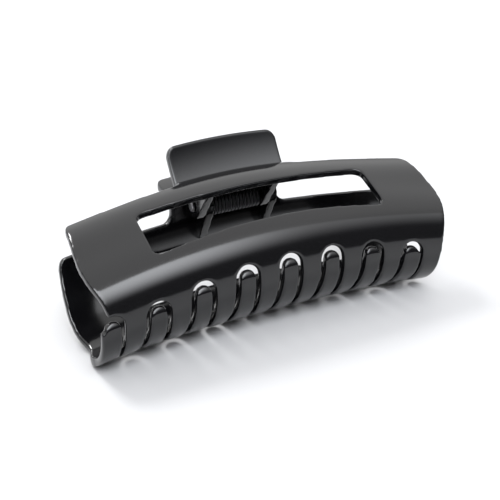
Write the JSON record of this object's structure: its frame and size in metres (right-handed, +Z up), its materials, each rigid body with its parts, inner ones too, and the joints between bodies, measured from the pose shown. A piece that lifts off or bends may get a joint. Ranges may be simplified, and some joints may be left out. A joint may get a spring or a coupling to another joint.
{
  "type": "hair claw clip",
  "caption": "Two arched plastic jaws with interlocking curved teeth, windows and thumb tabs, hinged on a steel pin and closed by a torsion spring to hold hair.",
  "frame": {"origin": "middle of the clip's footprint on the table, under the closed clip as it lies on its rear jaw", "axes": "+X along the hinge and the row of teeth, +Y towards the thumb tabs, +Z up"},
  "size_m": [0.122, 0.0602, 0.0494],
  "materials": {
    "moulded_plastic": "glossy black injection moulding",
    "pin_steel": "drawn steel rod",
    "spring_steel": "dark drawn spring wire"
  },
  "bodies": {
    "rear": {"rear_jaw": "moulded_plastic", "hinge_pin": "pin_steel", "torsion_spring": "spring_steel"},
    "front": {"front_jaw": "moulded_plastic"}
  },
  "joints": [
    {"name": "jaw_hinge", "type": "hinge", "parent": "rear", "child": "front", "pos_m": [0, 0.00947, 0.0309], "axis": [-1, 0, 0], "range_deg": [0, 40], "stiffness_Nm_per_rad": 0.25, "springref_deg": -45.84, "deforming": ["torsion_spring"]}
  ]
}
